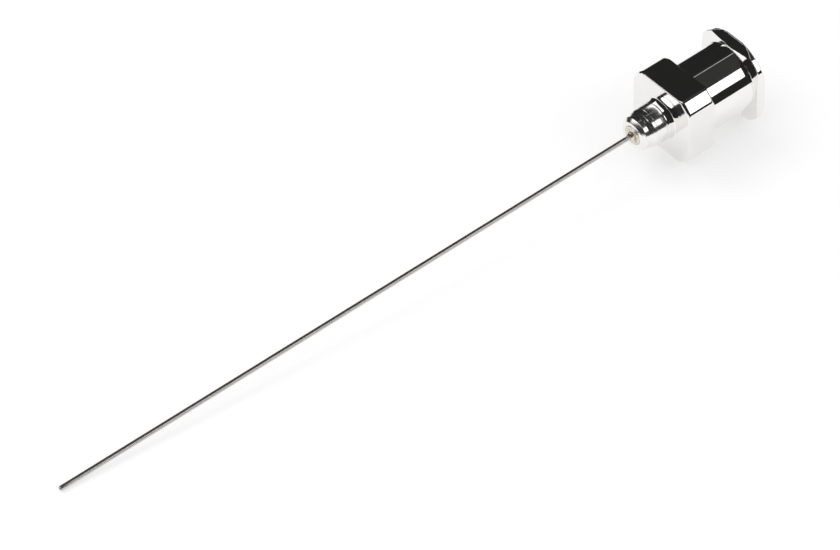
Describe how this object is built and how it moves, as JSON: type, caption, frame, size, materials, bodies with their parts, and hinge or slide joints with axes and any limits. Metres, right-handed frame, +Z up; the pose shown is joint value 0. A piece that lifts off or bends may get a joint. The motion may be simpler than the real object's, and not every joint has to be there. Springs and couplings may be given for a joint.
{
  "type": "blunt hypodermic needle",
  "caption": "Blunt stainless needle tube soldered into a turned, nickel-plated hub with a square wrench block, a lugged flange and a tapered socket that locks on a syringe.",
  "frame": {"origin": "on the surface the needle lies on, under the middle of its bounding box", "axes": "+Z up. The tube runs towards -X and the open mouth of the hub faces +X. The needle's own axis lies in the XZ plane and rises 3.15 degrees towards the mouth, because it rests on its lower lug and on the end of the tube."},
  "size_m": [0.066, 0.0066, 0.0076],
  "materials": {
    "nickel": "polished",
    "steel": "satin",
    "solder": "satin"
  },
  "bodies": {
    "root": {"hub": "nickel", "cannula": "steel", "solder_fillet": "solder"}
  },
  "joints": []
}
